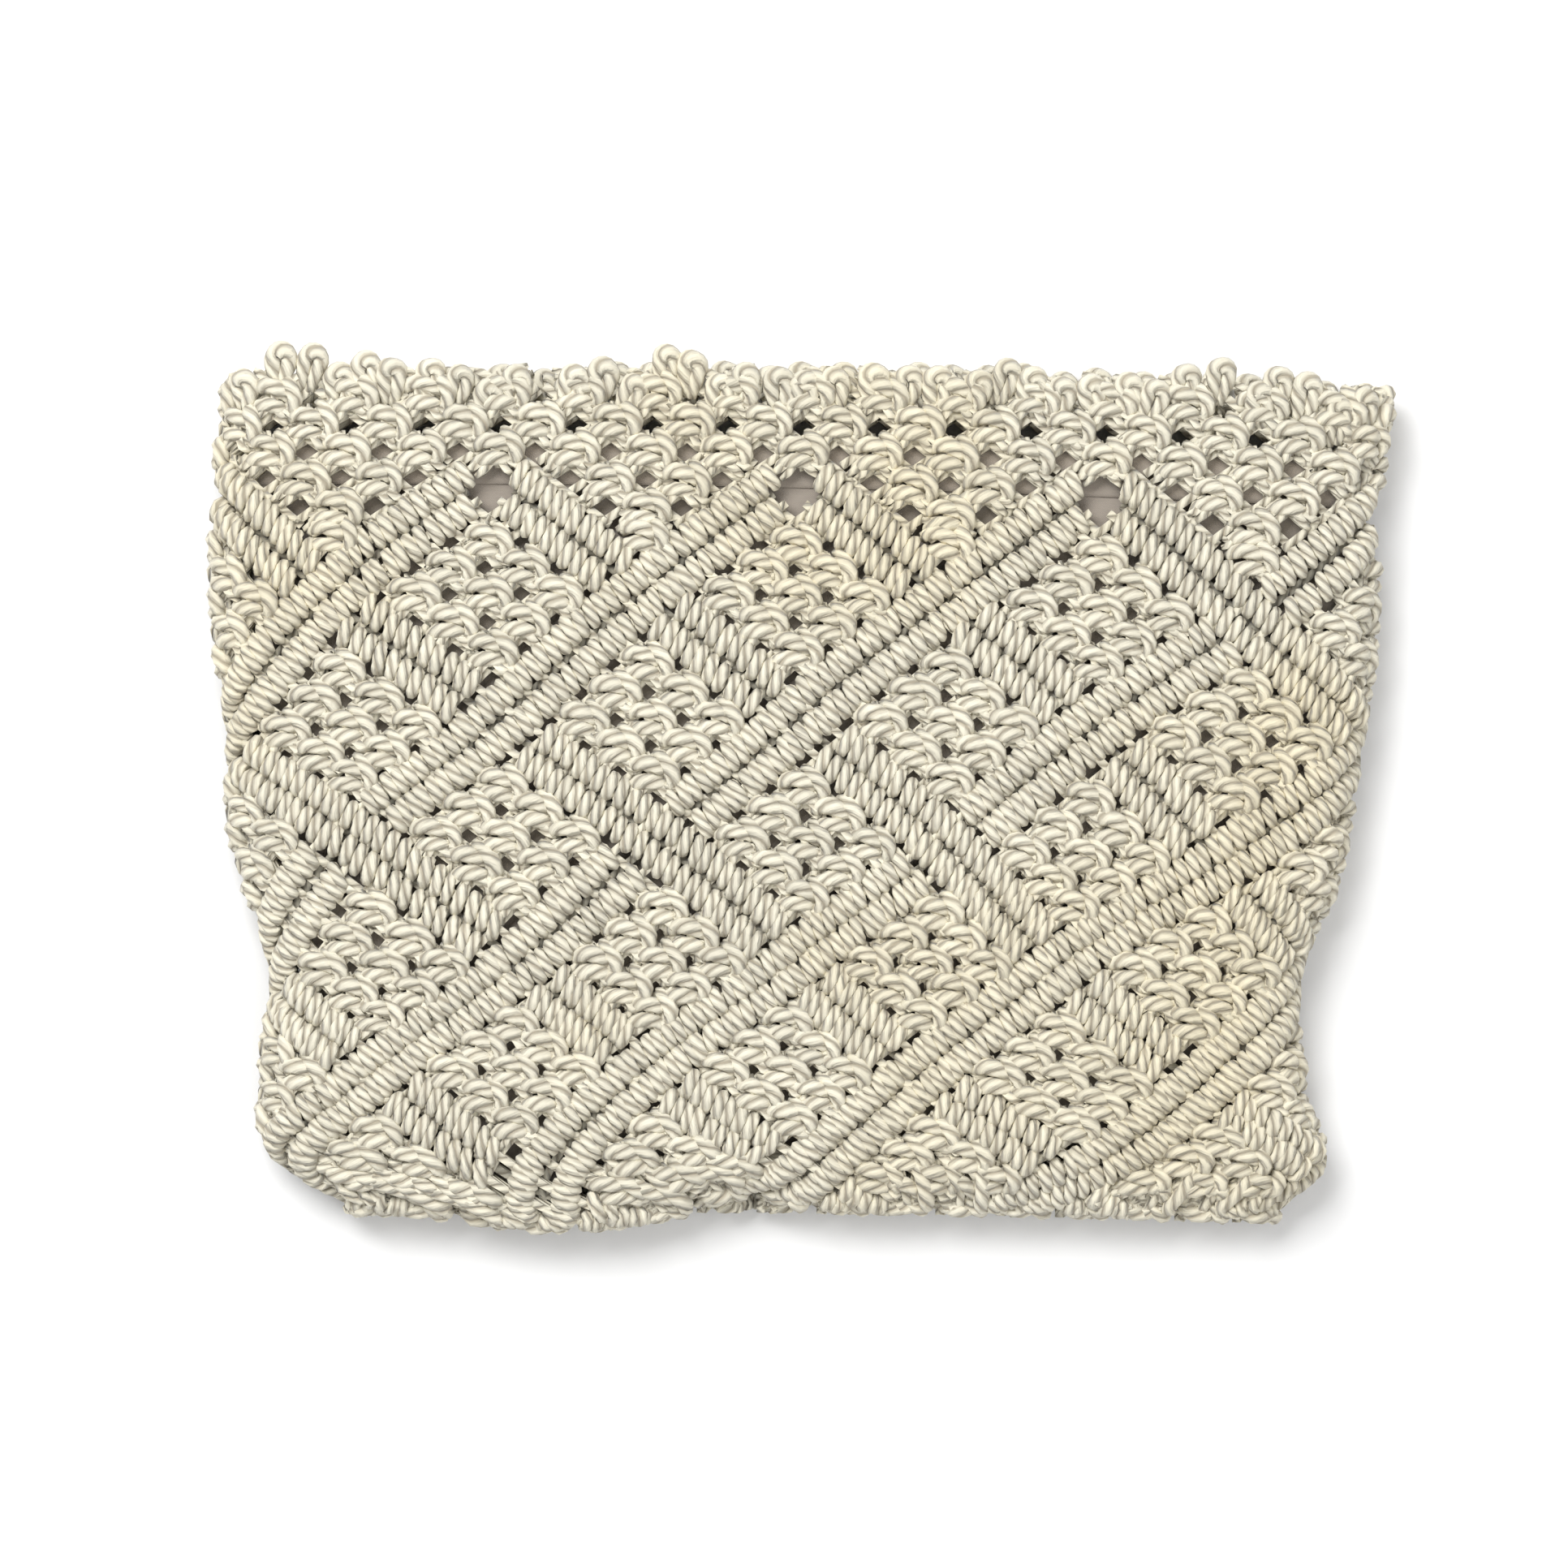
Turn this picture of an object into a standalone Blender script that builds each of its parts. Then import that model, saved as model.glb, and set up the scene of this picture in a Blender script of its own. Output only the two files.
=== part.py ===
"""Macrame bag: an open pouch of knotted cotton cord, lying flat on its back.

X runs to the right, Y up to the mouth and Z away from the surface that the bag lies on.
The bag is a tube worked in the round. Lattice position "around" counts diamond repeats from
the left fold over the front to the right fold and back underneath. Lattice position "down"
counts rows of diamond crossings, half a diamond each, from the first full row.
"""

import math
from collections import namedtuple

import bmesh
import bpy
import numpy as np
from mathutils import Matrix, Vector

# Driving dimensions, in metres
MOUTH_WIDTH = 0.2815
BODY_LENGTH = 0.1970
LYING_THICKNESS = 0.0225
WALL = 0.0050
BAND_RISE = 0.0020
BAND_GROOVE = 0.0014
PICOT_HEIGHT = 0.0082
PICOT_DEPTH = 0.0040
PICOT_PAIR_LIFT = 0.0016
LINING_CLOTH = 0.0010
LINING_HEM_EXTRA = 0.0005
LINING_SIDE_EASE = 0.0070
LINING_BASE_EASE = 0.0080
GAP = 0.0003
LINING_GAP = 0.0004

# The pattern: diamonds around the bag and the rows where its features start
REPEATS = 8
PATTERN_SHIFT = 0.5
PICOT_PAIRS_A_REPEAT = 4
FIRST_BAND_ROW = -1.0
LINING_TOP_ROW = -1.35
LINING_HEM_ROW = -0.97

# Shares of a diamond's side: a band's ridge beside the groove between a double band's two
# rows, and the gaps between the three knots
BAND_RIDGE = 0.12
KNOT_GAPS = (0.39, 0.61)
KNOT_GAP_HALF = 0.031

# One course for each row of crossings. Left, right: shares of half the mouth width from the
# centre line. Left_y, middle_y, right_y: shares of the body's length up from the base line.
# Thick: share of the lying thickness. The first course is the mouth and the last the base.
Course = namedtuple("Course", "row left right left_y middle_y right_y thick")
COURSES = (
    Course(-1.83, -1.000, 1.010, 1.000, 1.008, 0.983, 0.94),
    Course(-1.00, -1.017, 0.994, 0.898, 0.895, 0.870, 0.96),
    Course(0.00, -1.020, 0.986, 0.748, 0.756, 0.707, 0.98),
    Course(1.00, -0.993, 0.960, 0.585, 0.603, 0.568, 1.00),
    Course(2.00, -0.986, 0.922, 0.460, 0.452, 0.415, 1.00),
    Course(3.00, -0.918, 0.856, 0.293, 0.304, 0.287, 1.00),
    Course(4.00, -0.932, 0.859, 0.165, 0.170, 0.140, 0.96),
    Course(5.00, -0.866, 0.870, 0.038, 0.038, 0.028, 0.84),
    Course(5.20, -0.788, 0.817, 0.010, 0.012, 0.000, 0.70),
)

# Soft swells and dents of the front: centre and reach in the lattice, then the push to the
# right and up as shares of half the mouth width, and out of the front as a share of the
# lying thickness
Fold = namedtuple("Fold", "around down reach_around reach_down right up out")
FOLDS = (
    Fold(0.50, 0.00, 0.45, 0.80, -0.050, 0.000, 0.00),
    Fold(0.95, 5.20, 0.50, 0.60, 0.000, -0.040, 0.05),
    Fold(1.72, 5.25, 0.20, 0.40, 0.000, 0.038, 0.06),
    Fold(1.60, 2.20, 0.80, 0.90, 0.030, 0.000, 0.03),
    Fold(2.60, 2.00, 0.70, 0.70, 0.025, 0.000, 0.04),
    Fold(3.50, 4.20, 0.50, 0.70, 0.040, 0.000, 0.06),
    Fold(0.60, 4.20, 0.60, 0.90, 0.000, 0.000, 0.12),
    Fold(2.00, -1.40, 1.40, 0.60, 0.000, 0.000, -0.04),
)

MOUTH_ROW = COURSES[0].row
BASE_ROW = COURSES[-1].row
HALF_MOUTH = MOUTH_WIDTH / 2
SIDE_REPEATS = REPEATS / 2


def clear_scene():
    """Empty the scene of its start objects."""
    for item in list(bpy.data.objects):
        bpy.data.objects.remove(item, do_unlink=True)


def cotton(name, colour, roughness):
    """A plain cotton material."""
    material = bpy.data.materials.new(name)
    material.use_nodes = True
    shader = material.node_tree.nodes["Principled BSDF"]
    shader.inputs["Base Color"].default_value = (*colour, 1.0)
    shader.inputs["Roughness"].default_value = roughness
    shader.inputs["Metallic"].default_value = 0.0
    return material


def course_at(row):
    """The columns of the course table at any row, on a smooth curve through the courses."""
    rows = np.array([course.row for course in COURSES])
    values = np.array([course[1:] for course in COURSES])
    slopes = np.gradient(values, rows, axis=0)
    row = min(max(row, rows[0]), rows[-1])
    below = min(int(np.searchsorted(rows, row, side="right")) - 1, len(rows) - 2)
    span = rows[below + 1] - rows[below]
    t = (row - rows[below]) / span
    start = (1 + 2 * t) * (1 - t) ** 2 * values[below] + t * (1 - t) ** 2 * span * slopes[below]
    end = t * t * (3 - 2 * t) * values[below + 1] - t * t * (1 - t) * span * slopes[below + 1]
    return Course(row, *(start + end))


def front_folds(around, down):
    """Push to the right, up and out of the front's folds at a lattice position, in metres."""
    push = np.zeros(3)
    for fold in FOLDS:
        across = (around - fold.around) / fold.reach_around
        along = (down - fold.down) / fold.reach_down
        weight = math.exp(-across * across - along * along)
        push += weight * np.array((fold.right * HALF_MOUTH, fold.up * HALF_MOUTH, fold.out * LYING_THICKNESS))
    return push


def tube_point(around, down, out, side_ease=0.0):
    """A point of the bag: out is its distance outside the wall's outer face.

    Each cross-section is flat above and below, with round folds at the left and right. The
    flat underside lies so that the raised bands rest on the surface. side_ease narrows it.
    """
    course = course_at(down)
    radius = course.thick * LYING_THICKNESS / 2
    left = course.left * HALF_MOUTH + side_ease
    right = course.right * HALF_MOUTH - side_ease
    quarter = math.pi / 2 * radius
    flat = right - left - 2 * radius
    around = around % REPEATS
    on_front = around <= SIDE_REPEATS
    share = around / SIDE_REPEATS if on_front else 2 - around / SIDE_REPEATS
    travel = share * (2 * quarter + flat)
    reach = radius + out
    if travel < quarter:
        x = left + radius - reach * math.cos(travel / radius)
        z = reach * math.sin(travel / radius)
    elif travel > quarter + flat:
        x = right - radius + reach * math.sin((travel - quarter - flat) / radius)
        z = reach * math.cos((travel - quarter - flat) / radius)
    else:
        x = left + radius + travel - quarter
        z = reach
    across = (x - left) / (right - left)
    bow = 2 * (course.left_y + course.right_y) - 4 * course.middle_y
    y = (course.left_y + across * (course.right_y - course.left_y - bow) + across * across * bow) * BODY_LENGTH
    centre = radius + BAND_RISE
    if not on_front:
        return np.array((x, y, centre - z))
    edge = math.sin(math.pi * share)
    push = front_folds(share * SIDE_REPEATS, down) * np.array((edge, min(1.0, 2 * edge), edge))
    return np.array((x + push[0], y + push[1], centre + z + push[2]))


def lattice_position(around, down):
    """Counts of falling and of rising band lines passed, from around and down."""
    return around + PATTERN_SHIFT + down / 2, around + PATTERN_SHIFT - down / 2


def band_relief(around, down):
    """Height of the raised double bands over the knots at a lattice position.

    The front's have a groove between their two rows. The back's are pressed flat where the
    bag lies on them.
    """
    falling, rising = lattice_position(around, down)
    nearest = min(abs(falling - round(falling)), abs(rising - round(rising)))
    foot = KNOT_GAPS[0] - KNOT_GAP_HALF
    groove = BAND_GROOVE if around % REPEATS < SIDE_REPEATS else 0.0
    height = float(np.interp(nearest, (0.0, BAND_RIDGE, foot), (BAND_RISE - groove, BAND_RISE, 0.0)))
    start = (down - FIRST_BAND_ROW + BAND_RIDGE) / (2 * BAND_RIDGE)
    return height * min(1.0, max(0.0, start))


def lattice_lines(first, last):
    """Positions of the mesh lines over whole diamonds: grooves, ridges and knot gaps."""
    inside = [0.0, BAND_RIDGE]
    for gap in KNOT_GAPS:
        inside += [gap - KNOT_GAP_HALF, gap + KNOT_GAP_HALF]
    inside.append(1 - BAND_RIDGE)
    return [first + unit + share for unit in range(last - first) for share in inside]


def is_knot_gap(around, down):
    """Whether a lattice position lies in one of the four gaps between a diamond's knots."""
    shares = [value % 1.0 for value in lattice_position(around, down)]
    return all(any(abs(share - gap) < KNOT_GAP_HALF for gap in KNOT_GAPS) for share in shares)


def is_start_hole(around, down):
    """Whether a lattice position lies in one of the holes where the bands start."""
    lines = lattice_position(around, down)
    if abs(down - FIRST_BAND_ROW) > 2 * BAND_RIDGE:
        return False
    return all(abs(value - round(value)) < BAND_RIDGE for value in lines)


def is_cut_through(around, down):
    """Which faces of the sheet are left out: the front's knot gaps and the start holes."""
    from_fold = abs(around % SIDE_REPEATS - SIDE_REPEATS / 2)
    if from_fold > SIDE_REPEATS / 2 - 0.2:
        return False
    if is_start_hole(around, down):
        return True
    margin = 2 * KNOT_GAP_HALF
    inside = MOUTH_ROW + margin < down < BASE_ROW - 3 * margin
    return around < SIDE_REPEATS and inside and is_knot_gap(around, down)


def grid_sheet(columns, rows):
    """An open sheet whose vertices remember their place in the lattice."""
    bm = bmesh.new()
    around = bm.verts.layers.float.new("around")
    down = bm.verts.layers.float.new("down")
    bmesh.ops.create_grid(bm, x_segments=len(columns) - 1, y_segments=len(rows) - 1, size=0.5)
    for vertex in bm.verts:
        column = round((vertex.co.x + 0.5) * (len(columns) - 1))
        row = round((vertex.co.y + 0.5) * (len(rows) - 1))
        vertex[around] = columns[column]
        vertex[down] = rows[row]
        vertex.co = (columns[column], rows[row], 0.0)
    return bm


def cut_sheet(bm, place, normal, drop):
    """Cut a flat sheet along a line, and drop the far side if asked."""
    parts = bm.verts[:] + bm.edges[:] + bm.faces[:]
    bmesh.ops.bisect_plane(bm, geom=parts, dist=1e-5, plane_co=place, plane_no=normal, clear_outer=drop)


def bend_sheet(bm, place):
    """Move every vertex to its place on the bag and join the sheet's two long ends."""
    around = bm.verts.layers.float["around"]
    down = bm.verts.layers.float["down"]
    for vertex in bm.verts:
        vertex.co = place(vertex[around], vertex[down])
    bmesh.ops.remove_doubles(bm, verts=bm.verts[:], dist=1e-6)


def close_base(bm, base_row):
    """Join the front's lowest edge to the back's, vertex to vertex."""
    around = bm.verts.layers.float["around"]
    down = bm.verts.layers.float["down"]
    low = [vertex for vertex in bm.verts if abs(vertex[down] - base_row) < 1e-4]
    front = sorted((v for v in low if v[around] < SIDE_REPEATS + 1e-4), key=lambda v: v[around])
    back = {round(REPEATS - v[around], 3): v for v in low if v[around] > SIDE_REPEATS + 1e-4}
    for first, second in zip(front, front[1:]):
        corners = [first, second]
        for vertex in (second, first):
            partner = back.get(round(vertex[around], 3))
            if partner is not None and partner not in corners:
                corners.append(partner)
        if len(corners) > 2:
            bm.faces.new(corners)


def thicken(bm, inner_place):
    """Give a sheet its inner face, with walls around every edge and hole."""
    around = bm.verts.layers.float["around"]
    down = bm.verts.layers.float["down"]
    outer = bm.faces[:]
    made = bmesh.ops.extrude_face_region(bm, geom=outer, use_keep_orig=True)
    for item in made["geom"]:
        if isinstance(item, bmesh.types.BMVert):
            item.co = inner_place(item[around], item[down])
    bmesh.ops.recalc_face_normals(bm, faces=bm.faces[:])


def finish_object(bm, name, material, collection):
    """Turn a bmesh into a named object of the bag."""
    mesh = bpy.data.meshes.new(name)
    bm.to_mesh(mesh)
    bm.free()
    mesh.materials.append(material)
    mesh.shade_smooth()
    mesh.set_sharp_from_angle(angle=math.radians(40))
    item = bpy.data.objects.new(name, mesh)
    collection.objects.link(item)
    return item


def base_inset(down, start_row, base_row, depth):
    """How far the inner face keeps above the outer one, growing towards the base."""
    share = min(1.0, max(0.0, (down - start_row) / (base_row - start_row)))
    return np.array((0.0, depth * share * share, 0.0))


def make_body(collection, material):
    """The knotted tube with raised double bands, cut-through gaps and a closed base."""
    def outer_place(around, down):
        return tube_point(around, down, band_relief(around, down))

    def inner_place(around, down):
        inset = base_inset(down, BASE_ROW - 1.2, BASE_ROW, WALL)
        return tube_point(around, down, -WALL) + inset

    spare = math.ceil((BASE_ROW - MOUTH_ROW) / 2)
    lines = lattice_lines(-spare, REPEATS + spare)
    bm = grid_sheet(lines, lines)
    around = bm.verts.layers.float["around"]
    down = bm.verts.layers.float["down"]
    for vertex in bm.verts:
        falling, rising = vertex.co.x, vertex.co.y
        vertex.co = ((falling + rising) / 2 - PATTERN_SHIFT, falling - rising, 0.0)
    cut_sheet(bm, (0, MOUTH_ROW, 0), (0, -1, 0), True)
    cut_sheet(bm, (0, BASE_ROW, 0), (0, 1, 0), True)
    cut_sheet(bm, (0, 0, 0), (-1, 0, 0), True)
    cut_sheet(bm, (REPEATS, 0, 0), (1, 0, 0), True)
    cut_sheet(bm, (SIDE_REPEATS, 0, 0), (1, 0, 0), False)
    for vertex in bm.verts:
        vertex[around] = vertex.co.x
        vertex[down] = vertex.co.y
    gaps = [f for f in bm.faces if is_cut_through(*f.calc_center_median().xy)]
    bmesh.ops.delete(bm, geom=gaps, context="FACES")
    bend_sheet(bm, outer_place)
    close_base(bm, BASE_ROW)
    thicken(bm, inner_place)
    return finish_object(bm, "knotted_body", material, collection)


def make_lining(collection, material):
    """The cloth bag inside, with its doubled hem at the top."""
    hem_rows = [LINING_TOP_ROW, LINING_HEM_ROW, LINING_HEM_ROW + 0.03]
    base = BASE_ROW - 0.05
    rows = hem_rows + list(np.linspace(LINING_HEM_ROW + 0.8, base, 7))

    def cloth_place(depth):
        def place(around, down):
            point = tube_point(around, down, -WALL - LINING_GAP - depth, LINING_SIDE_EASE)
            return point + base_inset(down, base - 2.0, base, LINING_BASE_EASE + depth)
        return place

    def inner_place(around, down):
        hem = LINING_HEM_EXTRA if down < LINING_HEM_ROW + 0.01 else 0.0
        return cloth_place(LINING_CLOTH + hem)(around, down)

    columns = [SIDE_REPEATS * share for share in (0, 0.01, 0.03, 0.1, 0.25, 0.4, 0.5, 0.6, 0.75, 0.9, 0.97, 0.99)]
    columns = columns + [SIDE_REPEATS + column for column in columns] + [REPEATS]
    bm = grid_sheet(columns, rows)
    bend_sheet(bm, cloth_place(0.0))
    close_base(bm, base)
    thicken(bm, inner_place)
    return finish_object(bm, "lining", material, collection)


def picot_height(column, columns_a_loop):
    """Height of the loops' edge at a column: round loops, in pairs of unlike lift."""
    loop, step = divmod(column, columns_a_loop)
    pair = loop // 2
    lift = PICOT_PAIR_LIFT * math.sin(2.4 * pair)
    if step == 0:
        return PICOT_HEIGHT * (0.62 if loop % 2 else 0.30)
    return PICOT_HEIGHT + lift


def make_picot_rim(collection, material):
    """The ring of folded-cord loops that stands on the tube's mouth."""
    columns_a_loop = 3
    loops = REPEATS * PICOT_PAIRS_A_REPEAT * 2
    count = loops * columns_a_loop
    inset = (WALL - PICOT_DEPTH) / 2
    corners = ((-inset, 0), (-inset, 1), (-inset - PICOT_DEPTH, 1), (-inset - PICOT_DEPTH, 0), (-inset, 0))
    bm = grid_sheet([float(column) for column in range(count + 1)], [float(corner) for corner in range(5)])

    def place(column, corner):
        out, raised = corners[round(corner)]
        column = round(column) % count
        point = tube_point(column / count * REPEATS, MOUTH_ROW, out)
        height = picot_height(column, columns_a_loop)
        return point + np.array((0.0, GAP + raised * height, 0.0))

    bend_sheet(bm, place)
    bmesh.ops.recalc_face_normals(bm, faces=bm.faces[:])
    return finish_object(bm, "picot_rim", material, collection)


def centre_over_origin(items):
    """Move the pieces together so that the bag lies on the origin, centred left to right and up."""
    points = np.array([vertex.co for item in items for vertex in item.data.vertices])
    low = points.min(axis=0)
    high = points.max(axis=0)
    move = Vector(((low[0] + high[0]) / -2, (low[1] + high[1]) / -2, -low[2]))
    for item in items:
        item.data.transform(Matrix.Translation(move))


def main():
    """Build the bag."""
    clear_scene()
    collection = bpy.data.collections.new("macrame_bag")
    bpy.context.scene.collection.children.link(collection)
    cord = cotton("cotton_cord", (0.78, 0.74, 0.63), 0.9)
    cloth = cotton("lining_cloth", (0.36, 0.32, 0.28), 0.95)
    items = [make_body(collection, cord), make_picot_rim(collection, cord), make_lining(collection, cloth)]
    centre_over_origin(items)


main()
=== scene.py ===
"""Macrame bag lying on its back: knotted cotton cord, picot rim and plain cloth lining."""

import math

import bmesh
import bpy
import numpy as np
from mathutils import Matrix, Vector


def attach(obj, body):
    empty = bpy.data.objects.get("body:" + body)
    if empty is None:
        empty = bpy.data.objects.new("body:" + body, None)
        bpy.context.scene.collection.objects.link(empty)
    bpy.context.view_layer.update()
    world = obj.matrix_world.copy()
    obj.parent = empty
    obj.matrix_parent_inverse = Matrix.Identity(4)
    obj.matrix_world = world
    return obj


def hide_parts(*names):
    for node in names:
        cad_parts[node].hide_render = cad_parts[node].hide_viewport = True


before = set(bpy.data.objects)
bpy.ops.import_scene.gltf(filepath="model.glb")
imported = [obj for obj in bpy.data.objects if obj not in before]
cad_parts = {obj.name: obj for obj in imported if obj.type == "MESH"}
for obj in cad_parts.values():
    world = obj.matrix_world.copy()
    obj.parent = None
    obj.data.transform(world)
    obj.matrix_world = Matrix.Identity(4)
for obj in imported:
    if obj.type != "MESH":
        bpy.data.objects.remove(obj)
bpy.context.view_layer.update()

MILLIMETRE = 0.001
MOUTH_WIDTH = 0.2815
BODY_LENGTH = 0.1970
LYING_THICKNESS = 0.0225
WALL = 0.0050
BAND_RISE = 0.0020
HALF_MOUTH = MOUTH_WIDTH / 2
REPEATS = 8
SIDE_REPEATS = REPEATS / 2
FRAME_SHIFT = (0.001683, -0.102862)
ROW_LENGTH = 0.0295
CLOSING_ROWS = 0.34
CLOSING_DEPTH = 0.30

# The two lining cloths, their threads, and the grid that each is made from.
LINING_GAP = 0.0004
LINING_UNDER_HEM = 0.0006
LINING_THICKNESS = 0.0005
HEM_THICKNESS = 0.0004
LINING_SIDE_EASE = 0.0070
LINING_TOP_ROW = -1.35
LINING_HEM_ROW = -0.97
LINING_LOW_ROW = 4.90
HEM_PAST_LINING = 0.01
SEAM_START = 0.93
CLOTH_COLUMNS = 96
LINING_CLOTH_ROWS = 64
HEM_CLOTH_ROWS = 6
THREADS_AROUND = 1040
THREADS_PER_ROW = 59
WELD_DISTANCE = 0.0002
FLOOR_CLEARANCE = 0.0002

# Rows down the bag: row, left and right edge, height at the left, middle and right, thickness.
# The edges are shares of half the mouth, the heights of the body's length, the thickness of the
# lying thickness.
COURSES = np.array((
    (-1.83, -1.000, 1.010, 1.000, 1.008, 0.983, 0.94),
    (-1.00, -1.017, 0.994, 0.898, 0.895, 0.870, 0.96),
    (0.00, -1.020, 0.986, 0.748, 0.756, 0.707, 0.98),
    (1.00, -0.993, 0.960, 0.585, 0.603, 0.568, 1.00),
    (2.00, -0.986, 0.922, 0.460, 0.452, 0.415, 1.00),
    (3.00, -0.918, 0.856, 0.293, 0.304, 0.287, 1.00),
    (4.00, -0.932, 0.859, 0.165, 0.170, 0.140, 0.96),
    (5.00, -0.866, 0.870, 0.038, 0.038, 0.028, 0.84),
    (5.20, -0.788, 0.817, 0.010, 0.012, 0.000, 0.70),
))

# Soft pushes of the front: around, down, reach around and down, then right, up and out.
FOLDS = np.array((
    (0.50, 0.00, 0.45, 0.80, -0.050, 0.000, 0.00),
    (0.95, 5.20, 0.50, 0.60, 0.000, -0.040, 0.05),
    (1.72, 5.25, 0.20, 0.40, 0.000, 0.038, 0.06),
    (1.60, 2.20, 0.80, 0.90, 0.030, 0.000, 0.03),
    (2.60, 2.00, 0.70, 0.70, 0.025, 0.000, 0.04),
    (3.50, 4.20, 0.50, 0.70, 0.040, 0.000, 0.06),
    (0.60, 4.20, 0.60, 0.90, 0.000, 0.000, 0.12),
    (2.00, -1.40, 1.40, 0.60, 0.000, 0.000, -0.04),
))

ROWS = COURSES[:, 0]
TRACKS = COURSES[:, 1:]
TRACK_SLOPES = np.gradient(TRACKS, ROWS, axis=0)
MOUTH_ROW = ROWS[0]
BASE_ROW = ROWS[-1]


def unit(vectors):
    """The same directions with a length of one."""
    return vectors / np.maximum(np.linalg.norm(vectors, axis=-1, keepdims=True), 1e-12)


def smooth_between(start, end, leave, arrive, share):
    """A cubic curve from start to end with the given slopes at its ends."""
    rest = 1 - share
    return (
        start * (1 + 2 * share) * rest**2
        + end * (3 - 2 * share) * share**2
        + leave * share * rest**2
        - arrive * rest * share**2
    )


def course_values(down):
    """Left and right edge, three heights and thickness at any row."""
    held = np.clip(down, MOUTH_ROW, BASE_ROW)
    index = np.clip(np.searchsorted(ROWS, held, side="right") - 1, 0, len(ROWS) - 2)
    span = (ROWS[index + 1] - ROWS[index])[..., None]
    share = (held - ROWS[index])[..., None] / span
    values = smooth_between(
        TRACKS[index],
        TRACKS[index + 1],
        TRACK_SLOPES[index] * span,
        TRACK_SLOPES[index + 1] * span,
        share,
    )
    return np.moveaxis(values, -1, 0)


def front_push(around, down):
    """How far the front's soft folds move it right, up and out."""
    near = np.exp(
        -((around[..., None] - FOLDS[:, 0]) / FOLDS[:, 2]) ** 2
        - ((down[..., None] - FOLDS[:, 1]) / FOLDS[:, 3]) ** 2
    )
    return (near @ FOLDS[:, 4:]) * np.array((HALF_MOUTH, HALF_MOUTH, LYING_THICKNESS))


def wall_point(around, down, side_ease=0.0, inset=0.0):
    """Places on the knotted wall between its bands: around from the left fold, rows down."""
    around, down = np.broadcast_arrays(np.asarray(around, float), np.asarray(down, float))
    left, right, left_y, middle_y, right_y, thick = course_values(down)
    left = left * HALF_MOUTH + side_ease
    right = right * HALF_MOUTH - side_ease
    centre = thick * LYING_THICKNESS / 2
    radius = centre - inset
    quarter = math.pi / 2 * radius
    flat = right - left - 2 * radius
    around = around % REPEATS
    on_front = around <= SIDE_REPEATS
    share = np.where(on_front, around / SIDE_REPEATS, 2 - around / SIDE_REPEATS)
    travel = share * (2 * quarter + flat)
    first = np.clip(travel / radius, 0, math.pi / 2)
    last = np.clip((travel - quarter - flat) / radius, 0, math.pi / 2)
    middle = np.clip(travel - quarter, 0, flat)
    x = left + radius * (1 - np.cos(first)) + middle + radius * np.sin(last)
    z = radius * np.sin(first) * np.cos(last)
    across = (x - left) / (right - left)
    bow = 2 * (left_y + right_y) - 4 * middle_y
    y = (left_y + across * (right_y - left_y - bow) + across**2 * bow) * BODY_LENGTH
    y = y + np.maximum(MOUTH_ROW - down, 0) * ROW_LENGTH
    closing = np.clip((down - BASE_ROW) / CLOSING_ROWS, 0, 1) * math.pi / 2
    y = y - radius * CLOSING_DEPTH * np.sin(closing)
    z = z * np.cos(closing)
    edge = np.sin(math.pi * share)
    push = front_push(share * SIDE_REPEATS, down) * on_front[..., None]
    level = centre + BAND_RISE
    return np.stack(
        (
            x + push[..., 0] * edge + FRAME_SHIFT[0],
            y + push[..., 1] * np.minimum(1, 2 * edge) + FRAME_SHIFT[1],
            level + np.where(on_front, z, -z) + push[..., 2] * edge,
        ),
        axis=-1,
    )


def wall_axes(around, down):
    """The wall's steps per repeat around and per row down, and its outward direction."""
    step = 0.004
    around_step = (wall_point(around + step, down) - wall_point(around - step, down)) / (2 * step)
    down_step = (wall_point(around, down + step) - wall_point(around, down - step)) / (2 * step)
    return around_step, down_step, unit(np.cross(down_step, around_step))


def raised(around, down, height):
    """Places at a height over the wall."""
    return wall_point(around, down) + height[..., None] * wall_axes(around, down)[2]


def crossing_lines(falling, rising):
    """The place around and down of two band lines' meeting."""
    return (falling + rising) / 2 - 0.5, falling - rising


def smooth_path(points, rings):
    """A short list of points resampled as a smooth path."""
    points = np.array(points, float) * MILLIMETRE
    steps = np.arange(len(points))
    slopes = np.gradient(points, axis=0)
    places = np.linspace(0, len(points) - 1, rings)
    index = np.minimum(places.astype(int), len(points) - 2)
    share = (places - steps[index])[:, None]
    return smooth_between(points[index], points[index + 1], slopes[index], slopes[index + 1], share)


# The cord's twist in radians for each millimetre, how far the furrows between its plies sink,
# and within how many millimetres of its own cord each length starts.
CORD_TWIST = 0.52
CORD_PLIES = 3
FURROW_SINK = 0.15
START_SPREAD = 60


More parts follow.
